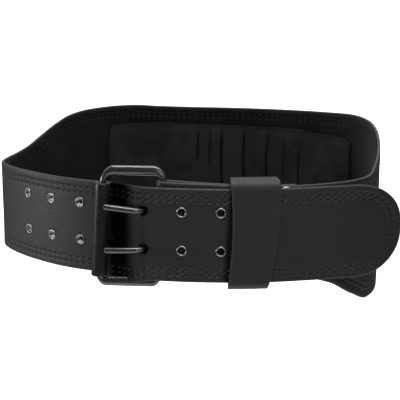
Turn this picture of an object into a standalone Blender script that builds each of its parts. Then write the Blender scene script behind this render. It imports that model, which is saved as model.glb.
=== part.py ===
"""Wide-backed leather lifting belt, fastened, standing on the lower edge of its back.

Metres, +Z up, the buckle toward -Y. The belt is one long strap: its buckle end lies inside,
it runs round the right side, the wide back and the left side, passes behind the roller and
over the hinge bar, and ends as the outer layer with the rounded tip.
"""
import math

import bmesh
import bpy
import numpy as np

# Main sizes
LOOP_HALF = 0.190
FRONT_WIDTH = 0.088
BACK_WIDTH = 0.152
LEATHER = 0.0032
LINING = 0.0020
GAP = 0.0003
EDGE_BEVEL = 0.0007
LINING_INSET = 0.0010
WALL_STEP = 0.0120
LAP_STEP = 0.0060

# Plan of the loop: heading from the loop's middle in degrees, reach as a share of LOOP_HALF
PLAN = [
    # heading, reach
    (-90, 0.761), (-66, 0.833), (-46, 0.943), (-30, 1.018), (-14, 0.976), (4, 0.973),
    (24, 1.023), (46, 0.963), (70, 0.892), (94, 0.916), (116, 0.971), (136, 0.935),
    (154, 0.937), (168, 1.002), (180, 1.112), (192, 1.026), (204, 0.940), (222, 0.857),
    (246, 0.773),
]
PLAN_STEPS = 24

# Edges of the strap: place as a share of the girth, how far each edge has flared from
# the front width to the back width
EDGES = [
    # place, top flare, bottom flare
    (-0.040, 0.00, 0.00), (0.082, 0.00, 0.00), (0.111, 0.00, 0.24), (0.135, 0.00, 0.69),
    (0.159, 0.03, 1.00), (0.181, 0.34, 1.00), (0.206, 0.60, 1.00), (0.232, 0.81, 1.00),
    (0.259, 0.96, 1.00), (0.290, 1.04, 1.00), (0.318, 1.06, 1.00), (0.360, 1.00, 1.00),
    (0.410, 0.96, 1.00), (0.500, 0.94, 1.00), (0.540, 0.98, 1.00), (0.571, 1.06, 1.00),
    (0.600, 1.08, 1.00), (0.626, 1.07, 1.00), (0.652, 0.99, 1.00), (0.675, 0.77, 1.00),
    (0.698, 0.48, 1.00), (0.719, 0.21, 0.78), (0.740, 0.07, 0.32), (0.762, 0.02, 0.00),
    (0.800, 0.00, 0.00), (1.200, 0.00, 0.00),
]

# Lap of the fastened ends: lift of the outer face off the wearing line, share of LAP_LIFT
LAP_LIFT = 0.0105
LIFTS = [
    # place, lift
    (-0.040, 0.40), (-0.028, 0.40), (0.004, 0.00), (0.860, 0.00), (0.900, -0.10),
    (0.924, -0.12), (0.940, 0.46), (0.953, 0.94), (0.964, 1.00), (1.074, 1.00),
    (1.100, 1.20), (1.126, 1.80), (1.149, 2.60), (1.175, 3.70),
]
# Closer columns where the lap bends, as shares of HINGE_PLACE
BEND_SHARES = [0.2, 3.6]
TAIL_REACH = 0.183
TIP_LENGTH = 0.042
TIP_SQUARENESS = 2.3
TIP_SHARES = [0.2, 0.4, 0.55, 0.68, 0.8, 0.88, 0.94, 0.98, 0.995]

# Buckle
HINGE_PLACE = -0.0373
ROLLER_PLACE = -0.0920
BAR_RADIUS = 0.0028
BAR_HALF_WIDTH = 0.0046
BUCKLE_HALF_HEIGHT = 0.0575
BUCKLE_RISE = 0.0043
BUCKLE_TILT = 0.058
CORNER_TOP = 0.0105
CORNER_BOTTOM = 0.0070
ROLLER_RADIUS = 0.0075
ROLLER_LENGTH = 0.0890
ROLLER_RISE = 0.0012
ROLLER_PLAY = 0.0008
ROLLER_CLEARANCE = 0.0020
FOLD_PLAY = 0.0006
FLAP_REACH = 0.1275
RISE_FADE = 0.0900

# Holes and eyelets
HOLE_ROW = 0.0180
HOLE_RISE = 0.0040
HOLE_PITCH = 0.0348
HOLE_PAIRS = 8
LAST_HOLE = 0.0534
ENGAGED_PAIR = 3
EYELET_BORE = 0.0035
EYELET_WALL = 0.0005
EYELET_FLANGE = 0.0049
EYELET_RIM = 0.0006

# Prongs: run from the hinge bar to the roller and height off the wearing line
PRONG_RADIUS = 0.0029
PRONG_EYE_WIRE = 0.0015
PRONG_EYE_TURN = (115, 350)
PRONG_REACH = 0.0467
PRONG_HEIGHT = 0.0170
PRONG_PATH = [
    # share of the reach, share of the height, thickness share
    (0.096, 0.098, 0.56), (0.193, 0.088, 0.55), (0.243, 0.124, 0.58), (0.268, 0.232, 0.64),
    (0.282, 0.372, 0.68), (0.297, 0.556, 0.72), (0.330, 0.736, 0.80), (0.407, 0.850, 0.96),
    (0.557, 0.912, 1.00), (0.739, 0.955, 1.00), (0.889, 0.983, 1.00), (1.000, 1.000, 1.00),
]
PRONGS = [
    # name, hole row share, tip row share
    ("prong_upper", 1.0, 1.15),
    ("prong_lower", -1.0, -1.13),
]
SLOT_WIDTH = 0.0072

# Keeper
KEEPER_WIDTH = 0.0415
KEEPER_PLACE = 0.0500
KEEPER_LEATHER = 0.0028
KEEPER_HALF_HEIGHT = 0.0515
KEEPER_RISE = 0.0007
KEEPER_PLAY = 0.0010
KEEPER_CORNER = 0.0090
KEEPER_SLANT = 0.060

# Rivets of the folded end
RIVET_PLACE = 0.0785
RIVET_ROW = 0.0385
RIVET_HEAD = 0.0050
RIVET_SHANK = 0.0020
RIVET_DOME = 0.0018
RIVET_CURVE = (0.85, 0.70, 0.45)

# Lumbar pad: place as a share of the girth, edges as shares of half the back width
PAD_THICK = 0.0090
PAD_RIM = 0.0016
PAD_START = 0.315
PAD_END = 0.606
PAD_EDGES = [
    # place, top, bottom
    (0.315, 0.68, 0.70), (0.400, 0.72, 0.72), (0.500, 0.74, 0.74), (0.606, 0.77, 0.74),
]
PAD_ROWS = 11
PAD_COLUMNS = 26
PAD_CORNER = 0.0120
PAD_FLATNESS = 4
PAD_ROW_CROWDING = 1.5
CREASE_WIDTH = 0.0030
CREASES = [
    # place, top, bottom, depth share
    (0.385, 0.45, -0.40, 0.20), (0.403, 0.50, -0.10, 0.16), (0.423, 0.55, -0.45, 0.22),
    (0.449, 0.56, -0.45, 0.24), (0.474, 0.60, -0.45, 0.24), (0.501, 0.58, 0.10, 0.18),
]

# Fineness of round pieces
ROUND_SIDES = 12
EYELET_SIDES = 10
ROLLER_SIDES = 20
PRONG_SIDES = 8
PRONG_STEPS = 32
FOLD_STEPS = 8
FLANGE_STEPS = 9
EYE_STEPS = 12
PAD_CORNER_STEPS = 3
CORNER_STEPS = 6


# Shared shapes

def through(rows, column, place):
    """Value of a table column at a place, by a curve that never overshoots the rows."""
    xs = np.array([row[0] for row in rows], float)
    ys = np.array([row[column] for row in rows], float)
    place = np.clip(np.asarray(place, float), xs[0], xs[-1])
    step = np.diff(xs)
    slope = np.diff(ys) / step
    grade = np.zeros(len(xs))
    before, after = slope[:-1], slope[1:]
    same = before * after > 0
    total = np.where(same, before + after, 1.0)
    grade[1:-1] = np.where(same, 2 * before * after / total, 0.0)
    k = np.clip(np.searchsorted(xs, place, side="right") - 1, 0, len(step) - 1)
    t = (place - xs[k]) / step[k]
    rise = ys[k] * (1 + 2 * t) * (1 - t) ** 2 + ys[k + 1] * t * t * (3 - 2 * t)
    return rise + step[k] * (grade[k] * t * (1 - t) ** 2 - grade[k + 1] * t * t * (1 - t))


def plan_ring():
    """Closed cubic B-spline of the plan table: points and their distance along the ring."""
    heading = np.radians([row[0] for row in PLAN])
    reach = LOOP_HALF * np.array([row[1] for row in PLAN])
    knots = np.stack([reach * np.cos(heading), reach * np.sin(heading)], 1)
    t = np.linspace(0, 1, PLAN_STEPS, endpoint=False)
    blend = np.stack([(1 - t) ** 3, 3 * t ** 3 - 6 * t ** 2 + 4,
                      -3 * t ** 3 + 3 * t ** 2 + 3 * t + 1, t ** 3], 1) / 6
    count = len(knots)
    spans = [blend @ knots[[(i - 1) % count, i, (i + 1) % count, (i + 2) % count]]
             for i in range(count)]
    points = np.concatenate(spans)
    closed = np.concatenate([points, points[:1]])
    along = np.concatenate([[0], np.cumsum(np.linalg.norm(np.diff(closed, axis=0), axis=1))])
    return closed, along


RING, RING_ALONG = plan_ring()
GIRTH = float(RING_ALONG[-1])


def wear_line(place):
    """Points and outward normals of the wearing line at distances from the front."""
    place = np.atleast_1d(np.asarray(place, float))

    def at(where):
        where = np.mod(where, GIRTH)
        return np.stack([np.interp(where, RING_ALONG, RING[:, i]) for i in range(2)], 1)

    reach = WALL_STEP / 2
    run = at(place + reach) - at(place - reach)
    run /= np.linalg.norm(run, axis=1)[:, None]
    return at(place), np.stack([run[:, 1], -run[:, 0]], 1)


def off_line(place, out):
    """Points at a height off the wearing line."""
    points, normals = wear_line(place)
    return points + np.reshape(out, (-1, 1)) * normals


def lift(place):
    """Height of the strap's outer face off the wearing line."""
    return LAP_LIFT * through(LIFTS, 1, np.asarray(place) / GIRTH)


def near_hinge(place):
    """1 at the hinge bar, fading along the inner layer as the buckle's skew dies out."""
    return np.clip(1 - (np.asarray(place, float) - HINGE_PLACE) / RISE_FADE, 0, 1)


def edges(place):
    """Lower and upper edge of the strap, tip left out."""
    share = np.asarray(place, float) / GIRTH
    spread = (BACK_WIDTH - FRONT_WIDTH) / 2
    rise = BUCKLE_RISE * near_hinge(place)
    top = FRONT_WIDTH / 2 + spread * through(EDGES, 1, share) + rise
    bottom = -FRONT_WIDTH / 2 - spread * through(EDGES, 2, share) + rise
    return bottom, top


def skew(place, level):
    """Shift along the belt at a level, where the buckle end lies askew."""
    normal = wear_line(place)[1]
    ahead = np.stack([-normal[:, 1], normal[:, 0]], 1)
    lean = BUCKLE_TILT * near_hinge(place) * (np.asarray(level) - BUCKLE_RISE)
    return np.reshape(lean, (-1, 1)) * ahead


def side_normals(path):
    """Unit normals of a plan path, to the left of its run."""
    run = np.gradient(path, axis=0)
    legs = np.diff(path, axis=0)
    legs /= np.linalg.norm(legs, axis=1)[:, None]
    run[1:-1] = legs[1:] + legs[:-1]
    run /= np.linalg.norm(run, axis=1)[:, None]
    return np.stack([-run[:, 1], run[:, 0]], 1)


def add_piece(name, points, faces, material, smooth_angle=35):
    """Object from points and faces, faces turned outward."""
    mesh = bpy.data.meshes.new(name)
    mesh.from_pydata([tuple(map(float, p)) for p in points], [], faces)
    work = bmesh.new()
    work.from_mesh(mesh)
    bmesh.ops.recalc_face_normals(work, faces=work.faces)
    work.to_mesh(mesh)
    work.free()
    mesh.shade_smooth()
    mesh.set_sharp_from_angle(angle=math.radians(smooth_angle))
    piece = bpy.data.objects.new(name, mesh)
    bpy.context.scene.collection.objects.link(piece)
    if material:
        mesh.materials.append(material)
    return piece


def add_cutter(name, points, faces):
    """Hidden guide solid for a Boolean."""
    cutter = add_piece(name, points, faces, None)
    cutter.hide_render = True
    cutter.display_type = "WIRE"
    return cutter


def ring_faces(rows, ring, closed_rows=False):
    """Quads of a tube of rings, with end caps unless the rows close on themselves."""
    faces = []
    for row in range(rows if closed_rows else rows - 1):
        base, over = row * ring, (row + 1) % rows * ring
        faces += [(base + i, base + (i + 1) % ring, over + (i + 1) % ring, over + i)
                  for i in range(ring)]
    if not closed_rows:
        faces.append(tuple(range(ring)))
        faces.append(tuple(range((rows - 1) * ring, rows * ring)))
    return faces


def wall(name, path, places, normals, thick, bottom, top, bevel, material):
    """Solid strip standing on its edge along a plan path."""
    half = thick / 2
    section = [(half, 1, 0), (-half, 1, 0), (-half, 0, 0), (half, 0, 0)]
    if bevel:
        section = [(half, 1, -bevel), (half - bevel, 1, 0), (bevel - half, 1, 0),
                   (-half, 1, -bevel), (-half, 0, bevel), (bevel - half, 0, 0),
                   (half - bevel, 0, 0), (half, 0, bevel)]
    columns = []
    for out, upper, inset in section:
        level = (top if upper else bottom) + inset
        columns.append(np.column_stack([path + out * normals + skew(places, level), level]))
    points = np.stack(columns, 1).reshape(-1, 3)
    return add_piece(name, points, ring_faces(len(path), len(section)), material)


def across_of(axis):
    """Unit direction square to an axis, level unless the axis is upright."""
    level = np.hypot(axis[0], axis[1]) > abs(axis[2])
    side = np.cross(axis, (0.0, 0.0, 1.0) if level else (0.0, 1.0, 0.0))
    return side / np.linalg.norm(side)


def tube(name, path, radii, sides, material, closed=False, widths=None):
    """Bar along a path of points, round or with a half width of its own across the path."""
    path = np.asarray(path, float)
    if closed:
        run = np.roll(path, -1, 0) - np.roll(path, 1, 0)
    else:
        run = np.gradient(path, axis=0)
    run /= np.linalg.norm(run, axis=1)[:, None]
    side = across_of(run[0])
    turn = 2 * np.pi * np.arange(sides) / sides
    points = []
    radii = np.broadcast_to(radii, len(path))
    for spot, ahead, radius, width in zip(path, run, radii, radii if widths is None else widths):
        side = side - ahead * (side @ ahead)
        side /= np.linalg.norm(side)
        over = np.cross(ahead, side)
        points += list(spot + radius * np.cos(turn)[:, None] * side
                       + width * np.sin(turn)[:, None] * over)
    return add_piece(name, points, ring_faces(len(path), sides, closed), material)


def turned(name, middle, axis, profile, sides, material, closed=True):
    """Turned piece: a profile of radius and height, turned round an axis."""
    middle, axis = np.asarray(middle, float), np.asarray(axis, float)
    side = across_of(axis)
    over = np.cross(axis, side)
    turn = 2 * np.pi * np.arange(sides) / sides
    round_about = np.cos(turn)[:, None] * side + np.sin(turn)[:, None] * over
    points = []
    for radius, height in profile:
        points += list(middle + height * axis + radius * round_about)
    faces = ring_faces(len(profile), sides, closed)
    return (points, faces) if name is None else add_piece(name, points, faces, material)


def cut(piece, cutter):
    """Takes a guide solid out of a piece."""
    step = piece.modifiers.new("cut", "BOOLEAN")
    step.operation = "DIFFERENCE"
    step.solver = "EXACT"
    step.object = cutter


def joined(solids):
    """Points and faces of separate solids as one list."""
    points, faces = [], []
    for more_points, more_faces in solids:
        start = len(points)
        points += list(more_points)
        faces += [tuple(start + i for i in face) for face in more_faces]
    return points, faces


def material(name, color, metallic, roughness):
    """Plain surface for one slot."""
    made = bpy.data.materials.new(name)
    made.use_nodes = True
    shader = made.node_tree.nodes["Principled BSDF"]
    shader.inputs["Base Color"].default_value = (*color, 1.0)
    shader.inputs["Metallic"].default_value = metallic
    shader.inputs["Roughness"].default_value = roughness
    return made


for old in list(bpy.data.objects):
    bpy.data.objects.remove(old, do_unlink=True)

GRAIN = material("grain_leather", (0.020, 0.020, 0.021), 0.0, 0.55)
SUEDE = material("lining_suede", (0.012, 0.011, 0.011), 0.0, 0.95)
PADDING = material("pad_suede", (0.016, 0.013, 0.012), 0.0, 0.95)
BLACK_STEEL = material("black_steel", (0.018, 0.018, 0.019), 0.6, 0.35)
NICKEL = material("nickel", (0.62, 0.62, 0.62), 1.0, 0.25)

# Lap heights that follow from the layers
FLAP_FACE = -(LEATHER + GAP + LINING + GAP)
FOLD_RADIUS = BAR_RADIUS + FOLD_PLAY + LEATHER / 2
HINGE_OUT = FLAP_FACE - LEATHER / 2 + FOLD_RADIUS
ROLLER_OUT = float(lift(GIRTH + ROLLER_PLACE)) + ROLLER_CLEARANCE + ROLLER_RADIUS
ROLLER_OUT += EYELET_RIM

# Belt leather: tail tip, round the loop, fold at the hinge bar, flap
tip_place = GIRTH + TAIL_REACH
tip_start = tip_place - TIP_LENGTH
tip_places = tip_start + TIP_LENGTH * np.array(TIP_SHARES)
bend_places = [GIRTH + share * HINGE_PLACE for share in BEND_SHARES]
strand = [tip_places[::-1]]
stretches = [
    (tip_start, bend_places[0], WALL_STEP), (bend_places[0], bend_places[1], LAP_STEP),
    (bend_places[1], HINGE_PLACE + LAP_STEP, WALL_STEP),
]
for start, stop, step in stretches:
    strand.append(np.linspace(start, stop, math.ceil((start - stop) / step), endpoint=False))
strand = np.concatenate(strand + [[HINGE_PLACE + LAP_STEP, HINGE_PLACE]])
strand_path = off_line(strand, lift(strand) - LEATHER / 2)
bottom, top = edges(strand)
tip_share = np.clip((strand - tip_start) / TIP_LENGTH, 0, 1)
tip_height = (1 - tip_share ** TIP_SQUARENESS) ** (1 / TIP_SQUARENESS)
strand_normals = side_normals(strand_path)

hinge_spot, hinge_normal = (v[0] for v in wear_line(HINGE_PLACE))
hinge_left = np.array([hinge_normal[1], -hinge_normal[0]])
hinge_middle = hinge_spot + HINGE_OUT * hinge_normal
bend = np.pi * np.arange(1, FOLD_STEPS + 1) / FOLD_STEPS
fold = (hinge_middle + FOLD_RADIUS * (np.cos(bend)[:, None] * hinge_normal
                                      + np.sin(bend)[:, None] * hinge_left))
flap_count = math.ceil(FLAP_REACH / WALL_STEP)
flap_places = HINGE_PLACE + FLAP_REACH * np.arange(1, flap_count + 1) / flap_count
flap = off_line(flap_places, np.full(flap_count, FLAP_FACE - LEATHER / 2))
leather_path = np.concatenate([strand_path, fold, flap])
hinge_low, hinge_high = edges(HINGE_PLACE)
flap_low, flap_high = edges(flap_places)
leather_places = np.concatenate([strand, np.full(FOLD_STEPS, HINGE_PLACE), flap_places])
leather_low = np.concatenate([bottom * tip_height, np.full(FOLD_STEPS, hinge_low), flap_low])
leather_high = np.concatenate([top * tip_height, np.full(FOLD_STEPS, hinge_high), flap_high])
leather = wall("belt_leather", leather_path, leather_places, side_normals(leather_path),
               LEATHER, leather_low, leather_high, EDGE_BEVEL, GRAIN)

# Lining: same run behind the leather, from the tip to short of the hinge bar
lining_end = HINGE_PLACE + FOLD_RADIUS + LEATHER
keep = (strand >= lining_end) & (tip_share < TIP_SHARES[-2])
lining_path = strand_path[keep] - strand_normals[keep] * (LEATHER / 2 + GAP + LINING / 2)
lining_low = bottom[keep] * tip_height[keep] + LINING_INSET
lining_high = top[keep] * tip_height[keep] - LINING_INSET
lining = wall("belt_lining", lining_path, strand[keep], strand_normals[keep], LINING,
              lining_low, lining_high, 0, SUEDE)

# Holes of the prongs and rivets, eyelets in every prong hole
LAYERS = LEATHER + GAP + LINING
hole_cuts = []
tube_radius = EYELET_BORE + EYELET_WALL
hole_radius = tube_radius + GAP
across_flange = np.linspace(1, -1, FLANGE_STEPS) * (EYELET_FLANGE + GAP)
for pair in range(HOLE_PAIRS):
    near = GIRTH + LAST_HOLE - pair * HOLE_PITCH + across_flange
    face = np.stack([np.interp(near, strand[::-1], strand_path[::-1, i]) for i in range(2)], 1)
    chord = face[-1] - face[0]
    axis = np.array([-chord[1], chord[0]]) / np.linalg.norm(chord)
    face_middle = face[len(face) // 2]
    bulge = (face - face_middle) @ axis
    seat_out = bulge.max() + LEATHER / 2 + GAP
    seat_in = bulge.min() - LEATHER / 2 - GAP - LINING - GAP
    profile = [(EYELET_BORE, seat_out + EYELET_RIM), (EYELET_FLANGE - GAP, seat_out + EYELET_RIM),
               (EYELET_FLANGE, seat_out), (tube_radius, seat_out), (tube_radius, seat_in),
               (EYELET_FLANGE, seat_in), (EYELET_BORE, seat_in - EYELET_RIM)]
    axis = (*axis, 0.0)
    for row, side in (("upper", 1), ("lower", -1)):
        middle = (*face_middle, HOLE_RISE + side * HOLE_ROW)
        turned(f"eyelet_{row}_{pair + 1}", middle, axis, profile, EYELET_SIDES, NICKEL)
        hole_cuts.append(turned(None, middle, axis, [(hole_radius, LEATHER),
                                                     (hole_radius, -LAYERS)],
                                EYELET_SIDES, None, closed=False))
rivet_spot, rivet_normal = (v[0] for v in wear_line(RIVET_PLACE))
rivet_axis = (*rivet_normal, 0.0)
flap_back = FLAP_FACE - LEATHER
rivet_profile = [(RIVET_HEAD - GAP, RIVET_DOME), (RIVET_HEAD, GAP), (RIVET_SHANK, GAP),
                 (RIVET_SHANK, flap_back - GAP), (RIVET_HEAD, flap_back - GAP),
                 (RIVET_HEAD * RIVET_CURVE[0], flap_back - GAP - RIVET_DOME * RIVET_CURVE[1]),
                 (RIVET_HEAD * RIVET_CURVE[2], flap_back - GAP - RIVET_DOME)]
for row, side in (("upper", 1), ("lower", -1)):
    middle = (*rivet_spot, side * RIVET_ROW)
    turned(f"rivet_{row}", middle, rivet_axis, rivet_profile, ROUND_SIDES, NICKEL, closed=False)
    hole_cuts.append(turned(None, middle, rivet_axis, [(RIVET_SHANK + GAP, LEATHER / 2),
                                                       (RIVET_SHANK + GAP, flap_back - LINING)],
                            ROUND_SIDES, None, closed=False))
holes = add_cutter("cutter_holes", *joined(hole_cuts))
cut(leather, holes)
cut(lining, holes)

# Slots in the fold for the prong eyes
slot_cuts = []
corners = [(-1, -1), (1, -1), (1, 1), (-1, 1)]
slot_half = FOLD_RADIUS + LEATHER
for name, hole_share, tip_row in PRONGS:
    slot_level = HOLE_RISE + hole_share * HOLE_ROW
    slot_middle = hinge_middle + skew(HINGE_PLACE, slot_level)[0]
    ring = []
    for level in (-1, 1):
        for along, out in corners:
            spot = slot_middle + slot_half * (along * hinge_left + out * hinge_normal)
            ring.append((*spot, slot_level + level * SLOT_WIDTH / 2))
    slot_cuts.append((ring, ring_faces(2, len(corners))))
cut(leather, add_cutter("cutter_slots", *joined(slot_cuts)))

# Buckle frame: rounded rectangle of bar between the hinge and the roller
roller_middle = off_line(GIRTH + ROLLER_PLACE, ROLLER_OUT)[0]
across = roller_middle - hinge_middle
frame_width = float(np.linalg.norm(across))
across /= frame_width
frame_corners = [
    # share across, side up or down, radius, first turn in quarters
    (1, -1, CORNER_BOTTOM, 3), (1, 1, CORNER_TOP, 0),
    (0, 1, CORNER_TOP, 1), (0, -1, CORNER_BOTTOM, 2),
]
frame_path = []
frame_widths = []
for far, up, radius, quarter in frame_corners:
    middle_across = far * frame_width + (radius if far == 0 else -radius)
    middle_up = BUCKLE_RISE + up * (BUCKLE_HALF_HEIGHT - BAR_HALF_WIDTH - radius)
    for turn in np.linspace(quarter, quarter + 1, CORNER_STEPS) * np.pi / 2:
        level = middle_up + radius * math.sin(turn)
        spot = hinge_middle + (middle_across + radius * math.cos(turn)) * across
        frame_path.append((*(spot - BUCKLE_TILT * (level - BUCKLE_RISE) * across), level))
        broad = math.sin(turn) ** 4
        frame_widths.append(BAR_RADIUS + (BAR_HALF_WIDTH - BAR_RADIUS) * broad)
tube("buckle_frame", frame_path, BAR_RADIUS, ROUND_SIDES, BLACK_STEEL, True, frame_widths)

# Roller on the far bar
bore = BAR_RADIUS + ROLLER_PLAY
half = ROLLER_LENGTH / 2
rim = ROLLER_PLAY
roller_axis = np.append(-BUCKLE_TILT * across, 1.0)
roller_spot = np.append(roller_middle, BUCKLE_RISE) + (ROLLER_RISE - BUCKLE_RISE) * roller_axis
turned("buckle_roller", roller_spot, roller_axis / np.linalg.norm(roller_axis),
       [(bore, half), (ROLLER_RADIUS - rim, half), (ROLLER_RADIUS, half - rim),
        (ROLLER_RADIUS, rim - half), (ROLLER_RADIUS - rim, -half), (bore, -half)],
       ROLLER_SIDES, BLACK_STEEL)

# Prongs: an eye round the hinge bar, then out through the hole and across to the roller
eye_radius = BAR_RADIUS + GAP + PRONG_EYE_WIRE
eye_turn = np.radians(np.linspace(*PRONG_EYE_TURN, EYE_STEPS))
eye = (hinge_middle + eye_radius * (np.cos(eye_turn)[:, None] * hinge_normal
                                    + np.sin(eye_turn)[:, None] * hinge_left))
shaft_along = PRONG_REACH * np.array([row[0] for row in PRONG_PATH])
shaft_out = PRONG_HEIGHT * np.array([row[1] for row in PRONG_PATH])
plan_path = np.concatenate([eye, off_line(HINGE_PLACE - shaft_along, shaft_out)])
thick = np.concatenate([np.full(len(eye), PRONG_EYE_WIRE),
                        PRONG_RADIUS * np.array([row[2] for row in PRONG_PATH])])
run = np.concatenate([[0], np.cumsum(np.linalg.norm(np.diff(plan_path, axis=0), axis=1))])
spots = np.linspace(0, run[-1], PRONG_STEPS)
hole_along = HOLE_PITCH * ENGAGED_PAIR - LAST_HOLE + HINGE_PLACE
splay = np.clip((shaft_along - hole_along) / (shaft_along[-1] - hole_along), 0, 1)
askew = np.concatenate([np.ones(len(eye)), np.clip(1 - shaft_along / hole_along, 0, 1)])
for name, hole_share, tip_share in PRONGS:
    share = np.concatenate([np.zeros(len(eye)), splay]) * (tip_share - hole_share) + hole_share
    level = HOLE_RISE + share * HOLE_ROW
    shift = askew[:, None] * skew(HINGE_PLACE, level)
    rows = np.column_stack([run, plan_path + shift, level, thick])
    fine = [through(rows, column, spots) for column in (1, 2, 3, 4)]
    tube(name, np.stack(fine[:3], 1), fine[3], PRONG_SIDES, BLACK_STEEL)

# Keeper: leather band round both ends of the strap
keeper_out = float(lift(GIRTH + KEEPER_PLACE)) + KEEPER_PLAY + KEEPER_LEATHER
keeper_in = flap_back - KEEPER_PLAY - KEEPER_LEATHER
keeper_middle = (keeper_out + keeper_in) / 2
keeper_half = (keeper_out - keeper_in) / 2
keeper_ring = []
for out, up, quarter in ((1, 1, 0), (-1, 1, 1), (-1, -1, 2), (1, -1, 3)):
    for turn in np.linspace(quarter, quarter + 1, CORNER_STEPS) * np.pi / 2:
        keeper_ring.append((out * (keeper_half - KEEPER_CORNER), up * (KEEPER_HALF_HEIGHT
                            - KEEPER_CORNER), math.cos(turn), math.sin(turn)))
keeper_ring = np.array(keeper_ring)
bevel = EDGE_BEVEL
width_half = KEEPER_WIDTH / 2
band_third = KEEPER_WIDTH / 6
band = [(-width_half, bevel), (bevel - width_half, 0), (-band_third, 0), (band_third, 0),
        (width_half - bevel, 0), (width_half, bevel), (width_half, KEEPER_LEATHER - bevel),
        (width_half - bevel, KEEPER_LEATHER), (band_third, KEEPER_LEATHER),
        (-band_third, KEEPER_LEATHER), (bevel - width_half, KEEPER_LEATHER),
        (-width_half, KEEPER_LEATHER - bevel)]
keeper_points = []
for base_out, base_up, cosine, sine in keeper_ring:
    for along, depth in band:
        radius = KEEPER_CORNER - depth
        up = base_up + radius * sine
        out = keeper_middle + base_out + radius * cosine
        spot = off_line(KEEPER_PLACE + along + KEEPER_SLANT * up, out)[0]
        keeper_points.append((*spot, KEEPER_RISE + up))
add_piece("keeper_loop", keeper_points, ring_faces(len(keeper_ring), len(band), True), GRAIN)

# Lumbar pad: crowned cushion on the lining, with the creases its bend has pressed in
crease_places = [row[0] + side * CREASE_WIDTH / GIRTH for row in CREASES for side in (-1, 0, 1)]
even = np.linspace(PAD_START, PAD_END, PAD_COLUMNS)
clear = [p for p in even if min(abs(p - c) for c in crease_places) > CREASE_WIDTH / GIRTH]
corner_turns = 1 - np.cos(np.linspace(0, np.pi / 2, PAD_CORNER_STEPS + 1))[1:-1]
corner_places = [PAD_START + s * PAD_CORNER / GIRTH for s in corner_turns]
corner_places += [PAD_END - s * PAD_CORNER / GIRTH for s in corner_turns]
places = np.array(sorted(clear + crease_places + corner_places))
spans = np.linspace(-1, 1, PAD_ROWS + 1)
spans = np.sign(spans) * (1 - (1 - np.abs(spans)) ** PAD_ROW_CROWDING)
half_back = BACK_WIDTH / 2
pad_top = half_back * through(PAD_EDGES, 1, places)
pad_low = -half_back * through(PAD_EDGES, 2, places)
end_gap = np.minimum(places - PAD_START, PAD_END - places) * GIRTH
corner = np.clip(1 - end_gap / PAD_CORNER, 0, 1)
pad_in = PAD_CORNER * (1 - np.sqrt(1 - corner ** 2))
pad_top, pad_low = pad_top - pad_in, pad_low + pad_in
end_swell = np.clip(end_gap / (2 * PAD_CORNER), 0, 1)
end_swell = np.sqrt(1 - (1 - end_swell) ** 2)
seat = -(LAYERS + GAP)
pad_points = []
for place, low, high, swell in zip(places, pad_low, pad_top, end_swell):
    level = (low + high) / 2 + spans * (high - low) / 2
    crown = np.sqrt(1 - np.abs(spans) ** PAD_FLATNESS) * swell
    dent = np.zeros(len(spans))
    for row in CREASES:
        near = math.exp(-((place - row[0]) * GIRTH / (CREASE_WIDTH / 2)) ** 2)
        fade = np.clip((row[1] * half_back - level) / PAD_CORNER, 0, 1)
        fade = fade * np.clip((level - row[2] * half_back) / PAD_CORNER, 0, 1)
        dent += row[3] * near * fade
    depth = PAD_RIM + (PAD_THICK - PAD_RIM) * crown * (1 - dent)
    front = off_line(np.full(len(spans), place * GIRTH), seat - depth)
    back = off_line([place * GIRTH, place * GIRTH], [seat, seat])
    pad_points += [(*spot, z) for spot, z in zip(front, level)]
    pad_points += [(*back[0], high), (*back[1], low)]
add_piece("lumbar_pad", pad_points, ring_faces(len(places), len(spans) + 2), PADDING, 50)

# Whole belt stands on the lower edge of its back, centred on the floor
stand = bpy.data.objects.new("belt_stand", None)
bpy.context.scene.collection.objects.link(stand)
pieces = [item for item in bpy.data.objects if item.type == "MESH"]
for item in pieces:
    item.parent = stand
shown = np.array([corner.co for item in pieces if not item.hide_render
                  for corner in item.data.vertices])
low, high = shown.min(axis=0), shown.max(axis=0)
stand.location = (-(low[0] + high[0]) / 2, -(low[1] + high[1]) / 2, -low[2])
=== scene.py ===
"""Black leather lifting belt, fastened, standing on the lower edge of its wide back."""
import math

import bmesh
import bpy
import numpy as np
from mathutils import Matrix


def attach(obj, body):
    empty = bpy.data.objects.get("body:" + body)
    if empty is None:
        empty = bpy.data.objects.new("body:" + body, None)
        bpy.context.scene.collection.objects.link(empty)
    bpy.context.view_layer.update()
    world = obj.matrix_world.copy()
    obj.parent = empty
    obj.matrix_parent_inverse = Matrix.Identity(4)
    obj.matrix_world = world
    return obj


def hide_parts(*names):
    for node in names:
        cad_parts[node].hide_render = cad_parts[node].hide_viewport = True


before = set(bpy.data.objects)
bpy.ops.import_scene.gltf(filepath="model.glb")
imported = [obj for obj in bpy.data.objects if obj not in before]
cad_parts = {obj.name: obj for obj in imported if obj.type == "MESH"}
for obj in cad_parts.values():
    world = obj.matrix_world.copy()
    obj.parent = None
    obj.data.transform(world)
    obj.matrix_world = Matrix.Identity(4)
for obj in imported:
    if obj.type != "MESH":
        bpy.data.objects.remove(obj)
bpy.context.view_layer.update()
MM = 0.001


# Belt leather
# One strap of black drum-dyed cowhide, cut wide for the back, folded round the buckle's hinge
# bar and rounded at the tail. Its cut edges are sanded and painted; two seams run round it.

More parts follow.
